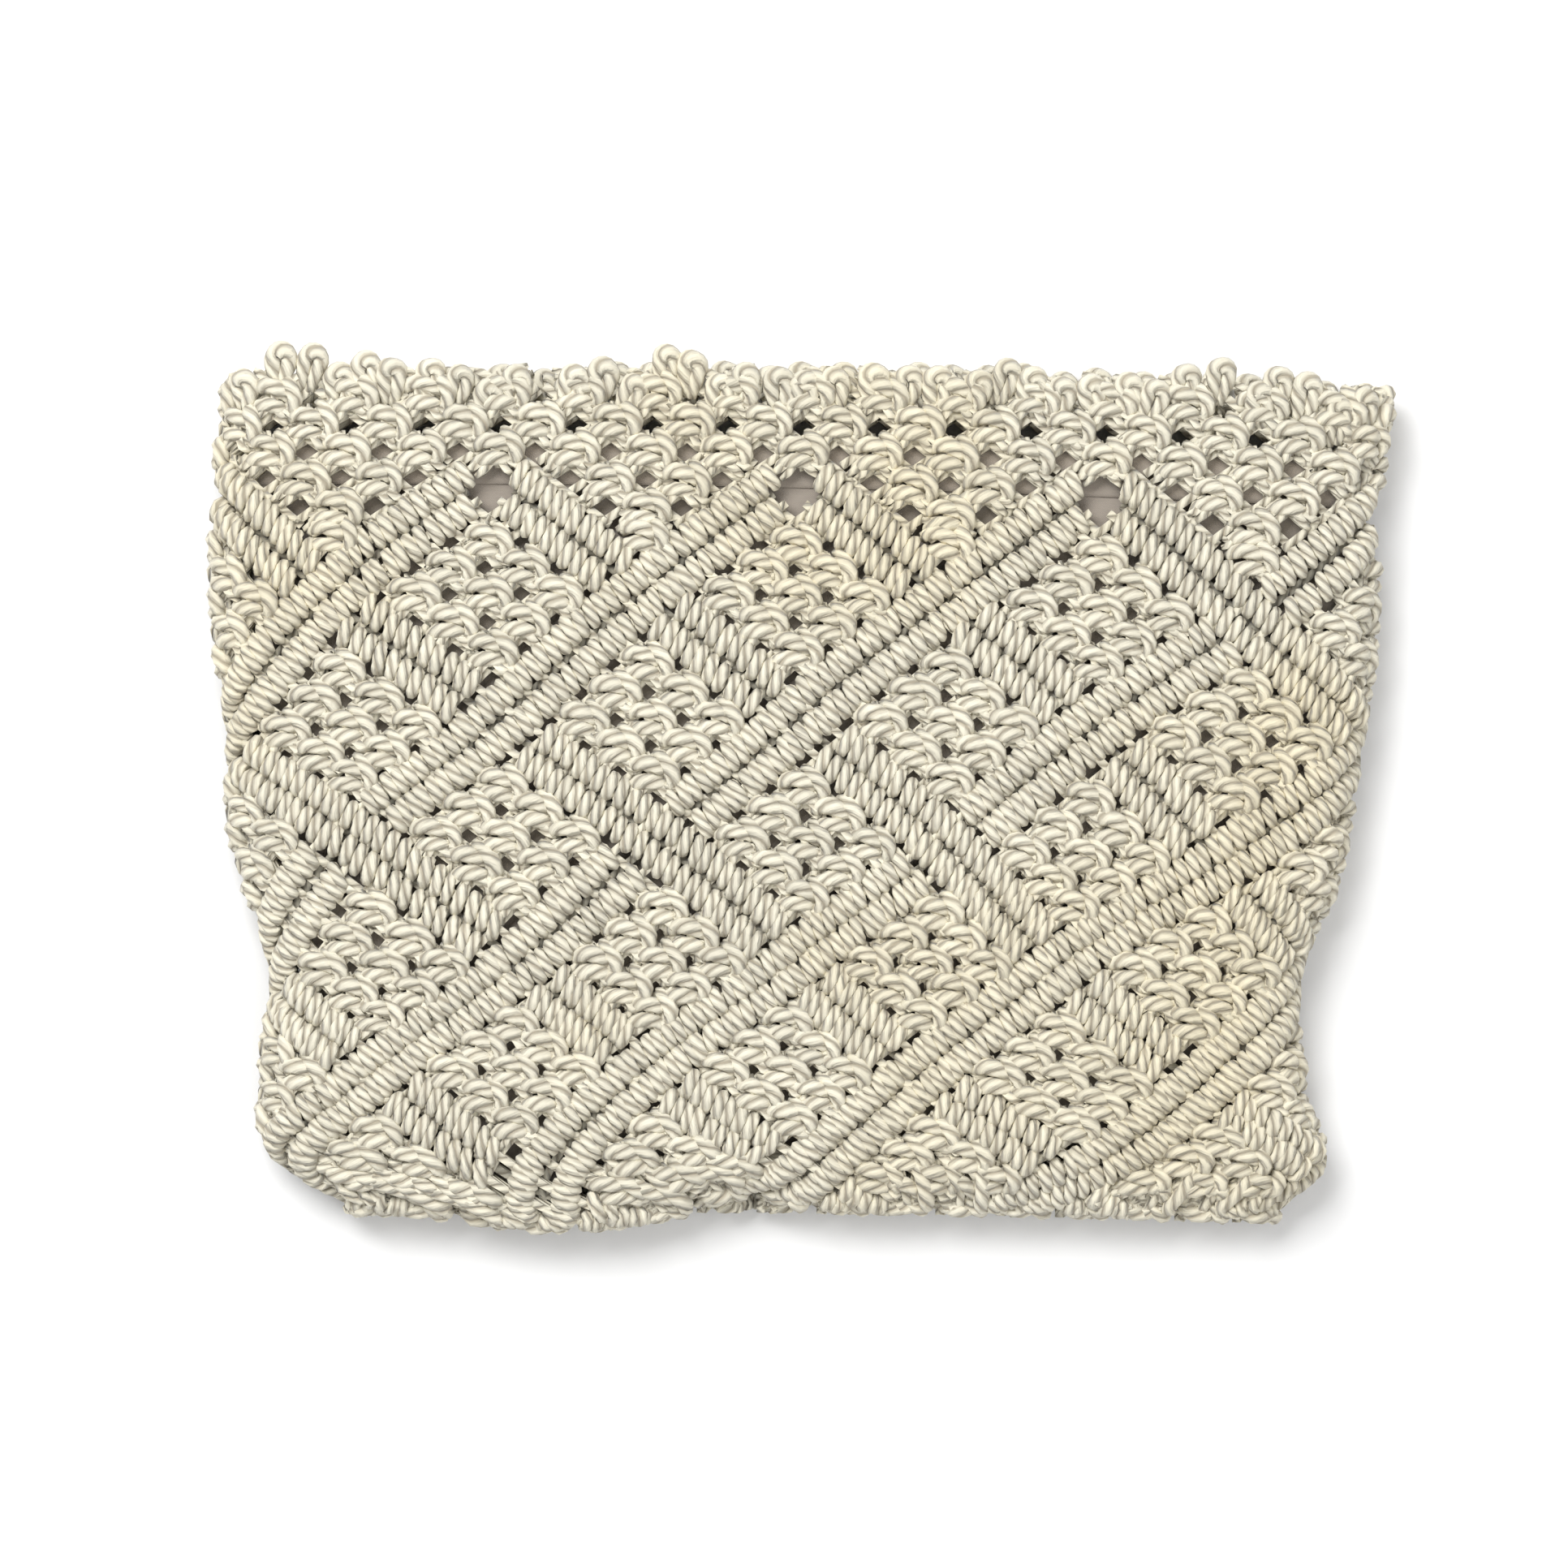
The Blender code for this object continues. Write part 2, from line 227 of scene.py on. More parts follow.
class CordBlank:
    """A short straight closed tube, kept as the ring and side of every face corner."""

    def __init__(self, rings, sides):
        bm = bmesh.new()
        bmesh.ops.create_circle(bm, cap_ends=False, segments=sides, radius=1.0)
        open_edges = bm.edges[:]
        for _ in range(rings - 1):
            grown = bmesh.ops.extrude_edge_only(bm, edges=open_edges)["geom"]
            moved = [item for item in grown if isinstance(item, bmesh.types.BMVert)]
            open_edges = [item for item in grown if isinstance(item, bmesh.types.BMEdge)]
            open_edges = [edge for edge in open_edges if all(v in moved for v in edge.verts)]
            bmesh.ops.translate(bm, verts=moved, vec=(0, 0, 1))
        bmesh.ops.holes_fill(bm, edges=bm.edges[:], sides=0)
        bmesh.ops.recalc_face_normals(bm, faces=bm.faces[:])
        corners = []
        turns = []
        starts = []
        for face in bm.faces:
            starts.append(len(corners))
            ring = [round(vertex.co.z) for vertex in face.verts]
            side = [self.side_of(vertex.co, sides) for vertex in face.verts]
            seam = len(face.verts) == 4 and max(side) - min(side) > 1
            corners += [r * sides + s for r, s in zip(ring, side)]
            turns += [CORD_PLIES if seam and s == 0 else s * CORD_PLIES / sides for s in side]
        bm.free()
        self.rings = rings
        self.sides = sides
        self.corners = np.array(corners)
        self.turns = np.array(turns)
        self.starts = np.array(starts)

    @staticmethod
    def side_of(place, sides):
        return round(math.atan2(place.y, place.x) / (2 * math.pi) * sides) % sides


class CordBundle:
    """Many cord lengths that become one joined mesh."""

    def __init__(self):
        self.places = []
        self.corners = []
        self.starts = []
        self.flows = []
        self.shades = []
        self.place_count = 0
        self.corner_count = 0

    def add(self, blank, centres, side_lead, radius, shade, random, sink=FURROW_SINK):
        """Sweep the blank along each centre line as a twisted cord; side_lead points to one side."""
        count = len(centres)
        ahead = unit(np.gradient(centres, axis=1))
        side = unit(side_lead - (side_lead * ahead).sum(-1, keepdims=True) * ahead)
        out = np.cross(ahead, side)
        hops = np.linalg.norm(np.diff(centres, axis=1), axis=-1)
        length = np.concatenate((np.zeros((count, 1)), np.cumsum(hops, axis=1)), axis=1)
        length = length / MILLIMETRE + random.uniform(0, START_SPREAD, (count, 1))
        turn = np.arange(blank.sides) / blank.sides
        angle = (turn * 2 * math.pi)[:, None]
        rim = np.cos(angle) * side[:, :, None] + np.sin(angle) * out[:, :, None]
        twist = CORD_TWIST * CORD_PLIES / (2 * math.pi)
        lobes = np.abs(np.cos(math.pi * (turn * CORD_PLIES + length[..., None] * twist)))
        reach = radius[:, :, None] * (1 - sink * (1 - lobes))
        places = centres[:, :, None] + rim * reach[..., None]
        per_copy = blank.rings * blank.sides
        offset = np.arange(count)[:, None]
        self.places.append(places.reshape(-1, 3))
        self.corners.append((blank.corners + offset * per_copy + self.place_count).ravel())
        self.starts.append((blank.starts + offset * len(blank.corners) + self.corner_count).ravel())
        along = length[:, blank.corners // blank.sides]
        turns = blank.turns + along * twist
        self.flows.append(np.stack((along, turns), axis=-1).reshape(-1, 2))
        self.shades.append(np.repeat(shade, per_copy))
        self.place_count += count * per_copy
        self.corner_count += count * len(blank.corners)

    def to_object(self, name, finish):
        """The joined mesh as an object of the scene, pressed flat where it meets the floor."""
        places = np.concatenate(self.places)
        places[:, 2] = np.maximum(places[:, 2], FLOOR_CLEARANCE)
        corners = np.concatenate(self.corners)
        starts = np.concatenate(self.starts)
        mesh = bpy.data.meshes.new(name)
        mesh.vertices.add(len(places))
        mesh.vertices.foreach_set("co", places.astype(np.float32).ravel())
        mesh.loops.add(len(corners))
        mesh.loops.foreach_set("vertex_index", corners.astype(np.int32))
        mesh.polygons.add(len(starts))
        mesh.polygons.foreach_set("loop_start", starts.astype(np.int32))
        mesh.update(calc_edges=True)
        flow = mesh.uv_layers.new(name="cord_flow")
        flow.uv.foreach_set("vector", np.concatenate(self.flows).astype(np.float32).ravel())
        shade = mesh.attributes.new("shade", "FLOAT", "POINT")
        shade.data.foreach_set("value", np.concatenate(self.shades).astype(np.float32))
        mesh.polygons.foreach_set("use_smooth", np.ones(len(starts), bool))
        mesh.materials.append(finish)
        made = bpy.data.objects.new(name, mesh)
        bpy.context.scene.collection.objects.link(made)
        return made


class Term:
    """A number in a material, written as an expression."""

    def __init__(self, finish, socket):
        self.finish = finish
        self.socket = socket

    def math(self, operation, *others):
        values = dict(enumerate((self, *others)))
        return self.finish.node("ShaderNodeMath", {"operation": operation}, values)

    def __add__(self, other):
        return self.math("ADD", other)

    def __sub__(self, other):
        return self.math("SUBTRACT", other)

    def __mul__(self, other):
        return self.math("MULTIPLY", other)

    def __rsub__(self, other):
        return self.finish.node("ShaderNodeMath", {"operation": "SUBTRACT"}, {0: other, 1: self})

    def sine(self):
        return self.math("SINE")

    def size(self):
        return self.math("ABSOLUTE")

    def held(self):
        """Kept between nought and one."""
        return self.finish.node("ShaderNodeClamp", {}, {"Value": self})


class Finish:
    """A material built from expressions."""

    def __init__(self, name):
        self.material = bpy.data.materials.new(name)
        self.material.use_nodes = True
        self.tree = self.material.node_tree
        self.shader = self.tree.nodes["Principled BSDF"]

    def node(self, kind, settings, inputs, output=0):
        """Any node: its settings first, then the values or links of its sockets."""
        made = self.tree.nodes.new(kind)
        for setting, value in settings.items():
            setattr(made, setting, value)
        for key, value in inputs.items():
            self.feed(made.inputs[key], value)
        return Term(self, made.outputs[output])

    def feed(self, socket, value):
        """Link a term or set a constant."""
        if isinstance(value, Term):
            self.tree.links.new(value.socket, socket)
        else:
            socket.default_value = value

    def set(self, **values):
        """The shader's own sockets, with spaces written as underscores."""
        for key, value in values.items():
            self.feed(self.shader.inputs[key.replace("_", " ")], value)

    def mix(self, amount, first, second):
        """A colour between two colours."""
        settings = {"data_type": "RGBA"}
        return self.node("ShaderNodeMix", settings, {0: amount, 6: first, 7: second}, output=2)

    def noise(self, vector, scale, detail=2.0, roughness=0.5):
        """A soft noise between nought and one."""
        inputs = {"Vector": vector, "Scale": scale, "Detail": detail, "Roughness": roughness}
        return self.node("ShaderNodeTexNoise", {}, inputs)

    def place(self):
        """Where a point is on the object, in metres."""
        return self.node("ShaderNodeTexCoord", {}, {}, output=3)

    def lightened(self, colour, light):
        """A colour made lighter or darker by a number."""
        settings = {"data_type": "RGBA", "blend_type": "MULTIPLY"}
        grey = self.vector(light, light, light)
        return self.node("ShaderNodeMix", settings, {0: 1.0, 6: colour, 7: grey}, output=2)

    def vector(self, x, y, z=0.0):
        return self.node("ShaderNodeCombineXYZ", {}, {0: x, 1: y, 2: z})

    def bump(self, height, strength, distance):
        """A surface direction roughened by a height."""
        inputs = {"Strength": strength, "Distance": distance, "Height": height}
        return self.node("ShaderNodeBump", {}, inputs)


CREAM = (0.80, 0.755, 0.615, 1.0)
WARM_CREAM = (0.78, 0.70, 0.50, 1.0)
# Painted shade in the furrows between a cord's plies: its colour, the ply height below which it
# starts, and how fast it deepens.
FURROW_PAINTED_SHADE = (0.34, 0.285, 0.20, 1.0)
FURROW_SHADE_EDGE = 0.74
FURROW_SHADE_CONTRAST = 1.1
PATCH_SCALE = 14.0
PATCH_EDGE = 0.52
PATCH_CONTRAST = 5.0
PATCH_WARMTH = 0.75
SHADE_CONTRAST = 0.16
FIBRE_CONTRAST = 0.34
PLY_RELIEF = 0.9
FIBRE_RELIEF = 0.22
CORD_BUMP = 0.0011


def cotton_cord_finish(name, lightness=1.0):
    """Undyed cotton cord: twisted strands, fine fibres, painted shade darkening the furrows between
    its plies, and warmer patches.
    """
    finish = Finish(name)
    flow = finish.node("ShaderNodeUVMap", {"uv_map": "cord_flow"}, {})
    along = finish.node("ShaderNodeSeparateXYZ", {}, {0: flow}, output=0)
    turn = finish.node("ShaderNodeSeparateXYZ", {}, {0: flow}, output=1)
    shade = finish.node("ShaderNodeAttribute", {"attribute_name": "shade"}, {}, output=2)
    wobble = finish.noise(finish.vector(along * 0.35, turn * 3.0, shade * 40.0), 1.0, detail=1.0)
    phase = turn + (wobble - 0.5) * 0.25 + 0.5
    ply = (phase * math.pi).sine().size()
    fibre = finish.noise(finish.vector(turn * 9.0, along * 0.45, shade * 30.0), 1.0, detail=3.0)
    patch = finish.noise(finish.place(), PATCH_SCALE)
    warm = ((patch - PATCH_EDGE) * PATCH_CONTRAST).held() * PATCH_WARMTH
    body = finish.mix(warm, CREAM, WARM_CREAM)
    # Painted shade: the colour darkens towards the middle of each furrow between the plies.
    furrow_shaded = finish.mix(((FURROW_SHADE_EDGE - ply) * FURROW_SHADE_CONTRAST).held(), body, FURROW_PAINTED_SHADE)
    light = (shade - 0.5) * SHADE_CONTRAST + (fibre - 0.5) * FIBRE_CONTRAST + lightness
    finish.set(
        Base_Color=finish.lightened(furrow_shaded, light),
        Roughness=0.92,
        Sheen_Weight=0.25,
        Sheen_Roughness=0.6,
        Specular_IOR_Level=0.2,
        Normal=finish.bump(ply * PLY_RELIEF + fibre * FIBRE_RELIEF, 1.0, CORD_BUMP),
    )
    return finish.material


CLOTH_BROWN = (0.42, 0.37, 0.32, 1.0)
LINING_LIGHTNESS = 0.92
HEM_LIGHTNESS = 1.12
CLOTH_DARKENING = 0.18
CLOTH_BUMP = 0.0002


def lining_cloth_finish(name, lightness):
    """Plain woven cotton cloth, matt beige grey."""
    finish = Finish(name)
    flow = finish.node("ShaderNodeUVMap", {"uv_map": "cloth_flow"}, {})
    across = finish.node("ShaderNodeSeparateXYZ", {}, {0: flow}, output=0)
    down = finish.node("ShaderNodeSeparateXYZ", {}, {0: flow}, output=1)
    warp = (across * math.pi * 2.0).sine()
    weft = (down * math.pi * 2.0).sine()
    weave = warp * weft * 0.5 + 0.5
    slub = finish.noise(finish.vector(across * 0.05, down * 1.3), 1.0, detail=2.0)
    cloud = finish.noise(finish.place(), 60.0, detail=2.0)
    light = weave * 0.10 + slub * 0.16 + cloud * 0.10 + (lightness - CLOTH_DARKENING)
    finish.set(
        Base_Color=finish.lightened(CLOTH_BROWN, light),
        Roughness=0.95,
        Specular_IOR_Level=0.15,
        Normal=finish.bump(weave * 0.6 + slub * 0.4, 0.5, CLOTH_BUMP),
    )
    return finish.material


# Band rows, in shares of a diamond's side, and their wraps, in millimetres.
ROW_OFFSET = 0.086
BAND_HALF = 0.175
START_SHIFT = 0.030
WRAP_PITCH = 3.0
WRAP_RADIUS = 1.74
WRAP_HALF_SPAN = 2.62
WRAP_LEAN = -0.44
WRAP_ARC = math.radians(108)
WRAP_CENTRE = -1.35
WRAP_RISE = 1.75
WRAP_FULLNESS = 0.75
DIAMOND_SIDE = 45.4
FIRST_BAND_ROW = -1.0
LAST_ROW = 5.50
SPARE_WRAPS = 8
UPPER_ROW_START = 0.05
LOWER_ROW_START = 0.135
CROSSING_MARGIN = 0.012
BACKSLASH_PUFF = 0.5
WRAP_TAPER = 0.35
SIZE_SPREAD = 0.045
LEAN_SPREAD = 0.08
SLIP_SPREAD = 0.17
LIFT_SPREAD = 0.16
CENTRE_SPREAD = 0.10
THICKNESS_SPREAD = 0.05

# Where a band that leans like a backslash runs through at a crossing: around, down.
OVER_CROSSINGS = ((0.5, 2.0), (1.5, 2.0), (2.5, 2.0), (3.5, 0.0))
SAME_PLACE = 0.01


def is_over(around, down):
    """Whether the band that leans like a backslash runs through at a crossing."""
    return any(
        abs(around - over_around) < SAME_PLACE and abs(down - over_down) < SAME_PLACE
        for over_around, over_down in OVER_CROSSINGS
    )


def start_shift(travel):
    """How far a band line moves up where it starts beside its hole."""
    return START_SHIFT * np.clip(1 - travel, 0, 1)


def band_wraps(leans_forward):
    """Line, place along it and side row of each wrap of the bands of one lean."""
    step = WRAP_PITCH / DIAMOND_SIDE
    found = []
    for line in range(REPEATS):
        for offset in (-ROW_OFFSET, ROW_OFFSET):
            for index in range(math.ceil((LAST_ROW - FIRST_BAND_ROW) / step) + SPARE_WRAPS):
                travel = index * step
                if leans_forward:
                    falling = line + offset - start_shift(travel)
                    rising = line + 1 - travel
                else:
                    rising = line + offset + start_shift(travel)
                    falling = line - 1 + travel
                around, down = crossing_lines(falling, rising)
                below_hole = offset > 0 if leans_forward else offset < 0
                start = LOWER_ROW_START if below_hole else UPPER_ROW_START
                if travel < start or down > LAST_ROW:
                    continue
                moving = rising if leans_forward else falling
                nearest = round(moving)
                held = falling if leans_forward else rising
                at_crossing = abs(moving - nearest) < BAND_HALF + CROSSING_MARGIN
                if at_crossing:
                    pair = (round(held), nearest) if leans_forward else (nearest, round(held))
                    cross_around, cross_down = crossing_lines(*pair)
                    over = is_over(cross_around % REPEATS, cross_down)
                    started = cross_down > FIRST_BAND_ROW + 0.5
                    if started and over == leans_forward:
                        continue
                found.append((falling, rising))
    return np.array(found)


def on_the_front(around):
    """Whether a place around is on the front."""
    return (around % REPEATS) <= SIDE_REPEATS


def add_wraps(bundle, blank, falling, rising, leans_forward, random):
    """Half-hitch wraps: short arcs of cord over the band's holding cord."""
    count = len(falling)
    around, down = crossing_lines(falling, rising)
    around_step, down_step, _ = wall_axes(around, down)
    falling_side = 0.5 * around_step + down_step
    rising_side = 0.5 * around_step - down_step
    row = rising_side if leans_forward else falling_side
    cross = falling_side if leans_forward else rising_side
    row_length = np.linalg.norm(row, axis=-1)[:, None] / MILLIMETRE
    cross_length = np.linalg.norm(cross, axis=-1)[:, None] / MILLIMETRE
    puff = 0.0 if leans_forward else BACKSLASH_PUFF
    angle = np.linspace(-WRAP_ARC, WRAP_ARC, blank.rings)[None, :]
    size = 1 + random.normal(0, SIZE_SPREAD, (count, 1))
    lean = random.normal(WRAP_LEAN, LEAN_SPREAD, (count, 1))
    shift = random.normal(0, SLIP_SPREAD, (count, 1))
    lift = random.normal(0, LIFT_SPREAD, (count, 1)) + puff
    wide = np.sign(np.sin(angle)) * np.abs(np.sin(angle)) ** WRAP_FULLNESS
    high = np.sign(np.cos(angle)) * np.abs(np.cos(angle)) ** WRAP_FULLNESS
    across = wide * WRAP_HALF_SPAN * size + random.normal(0, CENTRE_SPREAD, (count, 1))
    height = WRAP_CENTRE + high * (WRAP_RISE + lift)
    slip = across * lean + shift
    if leans_forward:
        f = falling[:, None] + across / cross_length
        g = rising[:, None] + slip / row_length
    else:
        g = rising[:, None] + across / cross_length
        f = falling[:, None] + slip / row_length
    centres = raised(*crossing_lines(f, g), height * MILLIMETRE)
    lead = (row if leans_forward else -row)[:, None, :]
    thickness = WRAP_RADIUS * (1 + random.normal(0, THICKNESS_SPREAD, (count, 1))) * MILLIMETRE
    ends = 1 - WRAP_TAPER * np.abs(np.linspace(-1, 1, blank.rings)[None, :]) ** 4
    bundle.add(blank, centres, lead, thickness * ends, random.uniform(0, 1, count), random)


# Holding cords under the wraps of a band: share of a diamond's side, height and shade. The middle
# cord's shade of -2.6 is painted shade: it darkens the groove between a band's two rows.
HOLDING_CORDS = ((-ROW_OFFSET, -1.5, 0.5), (0.0, -3.7, -2.6), (ROW_OFFSET, -1.5, 0.5))
HOLDING_RADIUS = 1.9
HOLDING_START = 0.12


def add_long_cord(bundle, blank, around, down, height, radius, shade, random):
    """One long cord inside the wall; only its material shows its plies."""
    centres = raised(around, down, np.full(blank.rings, height * MILLIMETRE))[None]
    outward = wall_axes(around, down)[2][None]
    lead = np.cross(outward, unit(np.gradient(centres, axis=1)))
    radii = np.full((1, blank.rings), radius * MILLIMETRE)
    bundle.add(blank, centres, lead, radii, np.array([shade]), random, sink=0.0)


def add_holding_cords(bundle, blank, random):
    """The long cords that the wraps of every band are knotted over."""
    travel = np.linspace(HOLDING_START, LAST_ROW - FIRST_BAND_ROW, blank.rings)
    for leans_forward in (True, False):
        for line in range(REPEATS):
            for offset, height, shade in HOLDING_CORDS:
                if leans_forward:
                    held = line + offset - start_shift(travel)
                    around, down = crossing_lines(held, line + 1 - travel)
                else:
                    held = line + offset + start_shift(travel)
                    around, down = crossing_lines(line - 1 + travel, held)
                add_long_cord(bundle, blank, around, down, height, HOLDING_RADIUS, shade, random)


# Square knots, in millimetres from the knot's middle: right, up and out.
UPPER_STRAND = (
    (-5.5, 0.7, -2.8), (-4.4, 2.0, -1.1), (-2.3, 2.6, 0.5), (0.1, 2.0, 0.6),
    (2.3, 0.9, -0.3), (3.7, -0.3, -2.0),
)
LOWER_STRAND = (
    (-5.3, -3.5, -2.6), (-4.2, -2.6, -0.9), (-1.9, -2.0, 0.3), (0.4, -2.1, 0.3),
    (2.4, -2.7, -0.7), (3.6, -3.4, -2.2),
)
SIDE_LOOP = (
    (1.5, 4.9, -1.9), (2.8, 3.6, -0.2), (4.3, 1.6, 0.7), (5.2, -0.4, 0.7),
    (5.0, -2.4, -0.2), (4.0, -3.9, -1.8),
)
LEGS = (
    ((-0.6, -1.6, -1.8), (-1.9, -4.0, -0.9), (-4.4, -6.0, -1.8)),
    ((-2.6, -1.6, -1.8), (-4.0, -3.4, -0.8), (-6.6, -4.6, -1.8)),
    ((0.8, -1.6, -1.8), (2.1, -4.2, -0.5), (4.4, -6.2, -1.8)),
    ((2.8, -1.6, -1.6), (4.4, -3.8, -0.8), (6.7, -4.6, -1.8)),
    ((-1.2, 1.6, -1.9), (-3.4, 4.3, -1.1), (-6.2, 5.4, -1.9)),
    ((1.2, 1.6, -1.9), (3.8, 4.5, -1.2), (6.4, 5.2, -1.9)),
    ((-0.8, 4.6, -2.2), (-0.4, 1.8, -1.0), (0.3, -1.4, -1.2), (0.6, -4.0, -2.4)),
)
STRAND_RADIUS = 1.98
LEG_RADIUS = 1.95
KNOT_SHARES = (0.278, 0.5, 0.722)
TOP_ROWS = ((-1.82, 0.0), (-1.55, 0.125), (-1.28, 0.0), (-1.0, 0.125), (-0.74, 0.0), (-0.50, 0.0))
KNOTS_ACROSS = 4
BASE_SEAM_ROW = 5.47
LAST_KNOT_ROW = LAST_ROW - 0.1
BAND_TOP_ROW = -1.2
DIAMOND_TOP_ROW = -0.6
KNOT_CLEARANCE = BAND_HALF + 0.03
DIAMONDS_DOWN = 6
STRAND_SWELL = 1.06
STRAND_TAPER = 0.42
STRAND_JITTER = 0.125
TIES = 5
TIE_TURN = 0.05
TIE_GROWTH = 0.03


def knot_places():
    """Where square knots sit: three by three in each diamond, under the mouth, along the base."""
    found = []
    for line in range(REPEATS):
        for drop in range(DIAMONDS_DOWN):
            for first in KNOT_SHARES:
                for second in KNOT_SHARES:
                    around, down = crossing_lines(line + drop + first, line + second)
                    if FIRST_BAND_ROW < down <= LAST_KNOT_ROW:
                        found.append((around % REPEATS, down))
    for down, start in TOP_ROWS:
        for index in range(REPEATS * KNOTS_ACROSS):
            around = start + index / KNOTS_ACROSS
            falling = around + 0.5 + down / 2
            rising = around + 0.5 - down / 2
            clear_falling = abs(falling - round(falling))
            clear_rising = abs(rising - round(rising))
            if down > BAND_TOP_ROW and min(clear_falling, clear_rising) < KNOT_CLEARANCE:
                continue
            between_holes = abs(around % 1 - 0.5) < SAME_PLACE
            if down > DIAMOND_TOP_ROW and not between_holes:
                continue
            found.append((around, down))
    for index in range(REPEATS * KNOTS_ACROSS):
        found.append(((index + 0.5) / KNOTS_ACROSS, BASE_SEAM_ROW))
    return np.array(found)


# Working cords that run from knot to knot: offsets in shares of a diamond's side, height and
# radius in millimetres, and the rows between which the short ones under the mouth run.
WORKING_OFFSETS = (-0.058, 0.058)
WORKING_HEIGHT = -2.9
WORKING_RADIUS = 2.0
# The working cords' shade sits a little under the middle tone: painted shade for cords that lie deep
# under the knots.
WORKING_PAINTED_SHADE = 0.35
FIRST_KNOT_SHARE = 0.86
PAST_MOUTH = 0.05
TOP_LINE_START = 0.115
HOLE_ROW = -1.17
BESIDE_HOLE = 0.11
TOP_END_ROW = -0.60


def add_working_cords(bundle, blank, top_blank, random):
    """The cords that pass through the square knots from one to the next."""
    runs = []
    for line in range(REPEATS):
        for share in KNOT_SHARES:
            down = np.linspace(share - FIRST_KNOT_SHARE, LAST_ROW, blank.rings)
            runs.append((blank, line + share, down))
    top_run = np.linspace(MOUTH_ROW - PAST_MOUTH, TOP_END_ROW, top_blank.rings)
    cut_run = np.linspace(MOUTH_ROW - PAST_MOUTH, HOLE_ROW, top_blank.rings)
    for index in range(REPEATS * KNOTS_ACROSS):
        held = TOP_LINE_START + index / KNOTS_ACROSS
        runs.append((top_blank, held, top_run))
    for run_blank, held, whole_run in runs:
        for leans_forward in (True, False):
            for offset in WORKING_OFFSETS:
                down = whole_run
                line = (held if leans_forward else 1 - held) + offset
                if run_blank is top_blank and abs(line - round(line)) < BESIDE_HOLE:
                    down = cut_run
                if leans_forward:
                    around = line - 0.5 - down / 2
                else:
                    around = line - 0.5 + down / 2
                add_long_cord(
                    bundle, run_blank, around, down,
                    WORKING_HEIGHT, WORKING_RADIUS, WORKING_PAINTED_SHADE, random,
                )


def add_strand(bundle, blank, around, down, points, radius, random, jitter=STRAND_JITTER):
    """One strand of every knot, from points in millimetres."""
    count = len(around)
    path = smooth_path(points, blank.rings)[None]
    wander = random.normal(0, jitter * MILLIMETRE, (count, 3, 3))
    blend = np.linspace(0, 1, blank.rings)
    weights = np.stack(((1 - blend) ** 2, 2 * blend * (1 - blend), blend**2), axis=-1)
    path = path + np.einsum("rk,nkc->nrc", weights, wander)
    around_step, down_step, _ = wall_axes(around, down)
    right = path[..., 0] / np.linalg.norm(around_step, axis=-1)[:, None]
    below = -path[..., 1] / np.linalg.norm(down_step, axis=-1)[:, None]
    places = around[:, None] + right
    rows = down[:, None] + below
    centres = raised(places, rows, path[..., 2])
    outward = wall_axes(places, rows)[2]
    ahead = unit(np.gradient(centres, axis=1))
    thickness = radius * (1 + random.normal(0, THICKNESS_SPREAD, (count, 1))) * MILLIMETRE
    ends = STRAND_SWELL - STRAND_TAPER * np.abs(np.linspace(-1, 1, blank.rings)[None, :]) ** 2.2
    shades = random.uniform(0, 1, count)
    bundle.add(blank, centres, np.cross(outward, ahead), thickness * ends, shades, random)


def turned_points(points, angle, grow):
    """Knot points turned and grown a little."""
    cosine = math.cos(angle) * grow
    sine = math.sin(angle) * grow
    return [(x * cosine - y * sine, x * sine + y * cosine, z) for x, y, z in points]


def add_knots(knots, links, strand_blank, leg_blank, around, down, random):
    """All the strands and legs of a set of square knots, in a few slightly different ties."""
    ties = random.integers(0, TIES, len(around))
    for tie in range(TIES):
        chosen = ties == tie
        angle = (tie - 2) * TIE_TURN
        grow = 1 + (tie % 3 - 1) * TIE_GROWTH
        tied = (around[chosen], down[chosen])
        for points in (UPPER_STRAND, LOWER_STRAND, SIDE_LOOP):
            bent = turned_points(points, angle, grow)
            add_strand(knots, strand_blank, *tied, bent, STRAND_RADIUS, random)
        for points in LEGS:
            bent = turned_points(points, angle, grow)
            add_strand(links, leg_blank, *tied, bent, LEG_RADIUS, random)


# Picots: folded cords that stand over the first knots. A loop's points, its radius and how far
# its top is over its middle are in millimetres.
PICOT_LOOP = (
    (-2.2, -8.0, -2.4), (-1.9, -5.0, -1.2), (-2.0, -2.4, -0.3), (-1.9, 0.0, 0.2), (-1.2, 1.3, 0.6),
    (0.0, 1.7, 0.8), (1.2, 1.3, 0.5), (1.9, 0.0, 0.0), (1.5, -2.4, -0.3), (0.6, -5.0, -1.2),
    (-0.2, -8.0, -2.4),
)
PICOT_RADIUS = 2.2
PICOT_ROW = -1.985
PICOT_SPREAD = 0.058
PICOT_TOP = 3.9
PICOT_PAIR_START = 0.3
PAIR_LIFT_SPREAD = 0.018
PICOT_AROUND_SPREAD = 0.006
PICOT_LIFT_SPREAD = 0.012
PICOT_TURN_SPREAD = 0.13
PICOT_SIZE_SPREAD = 0.06
PICOT_JITTER = 0.15
MOUTH_SAMPLES = 400

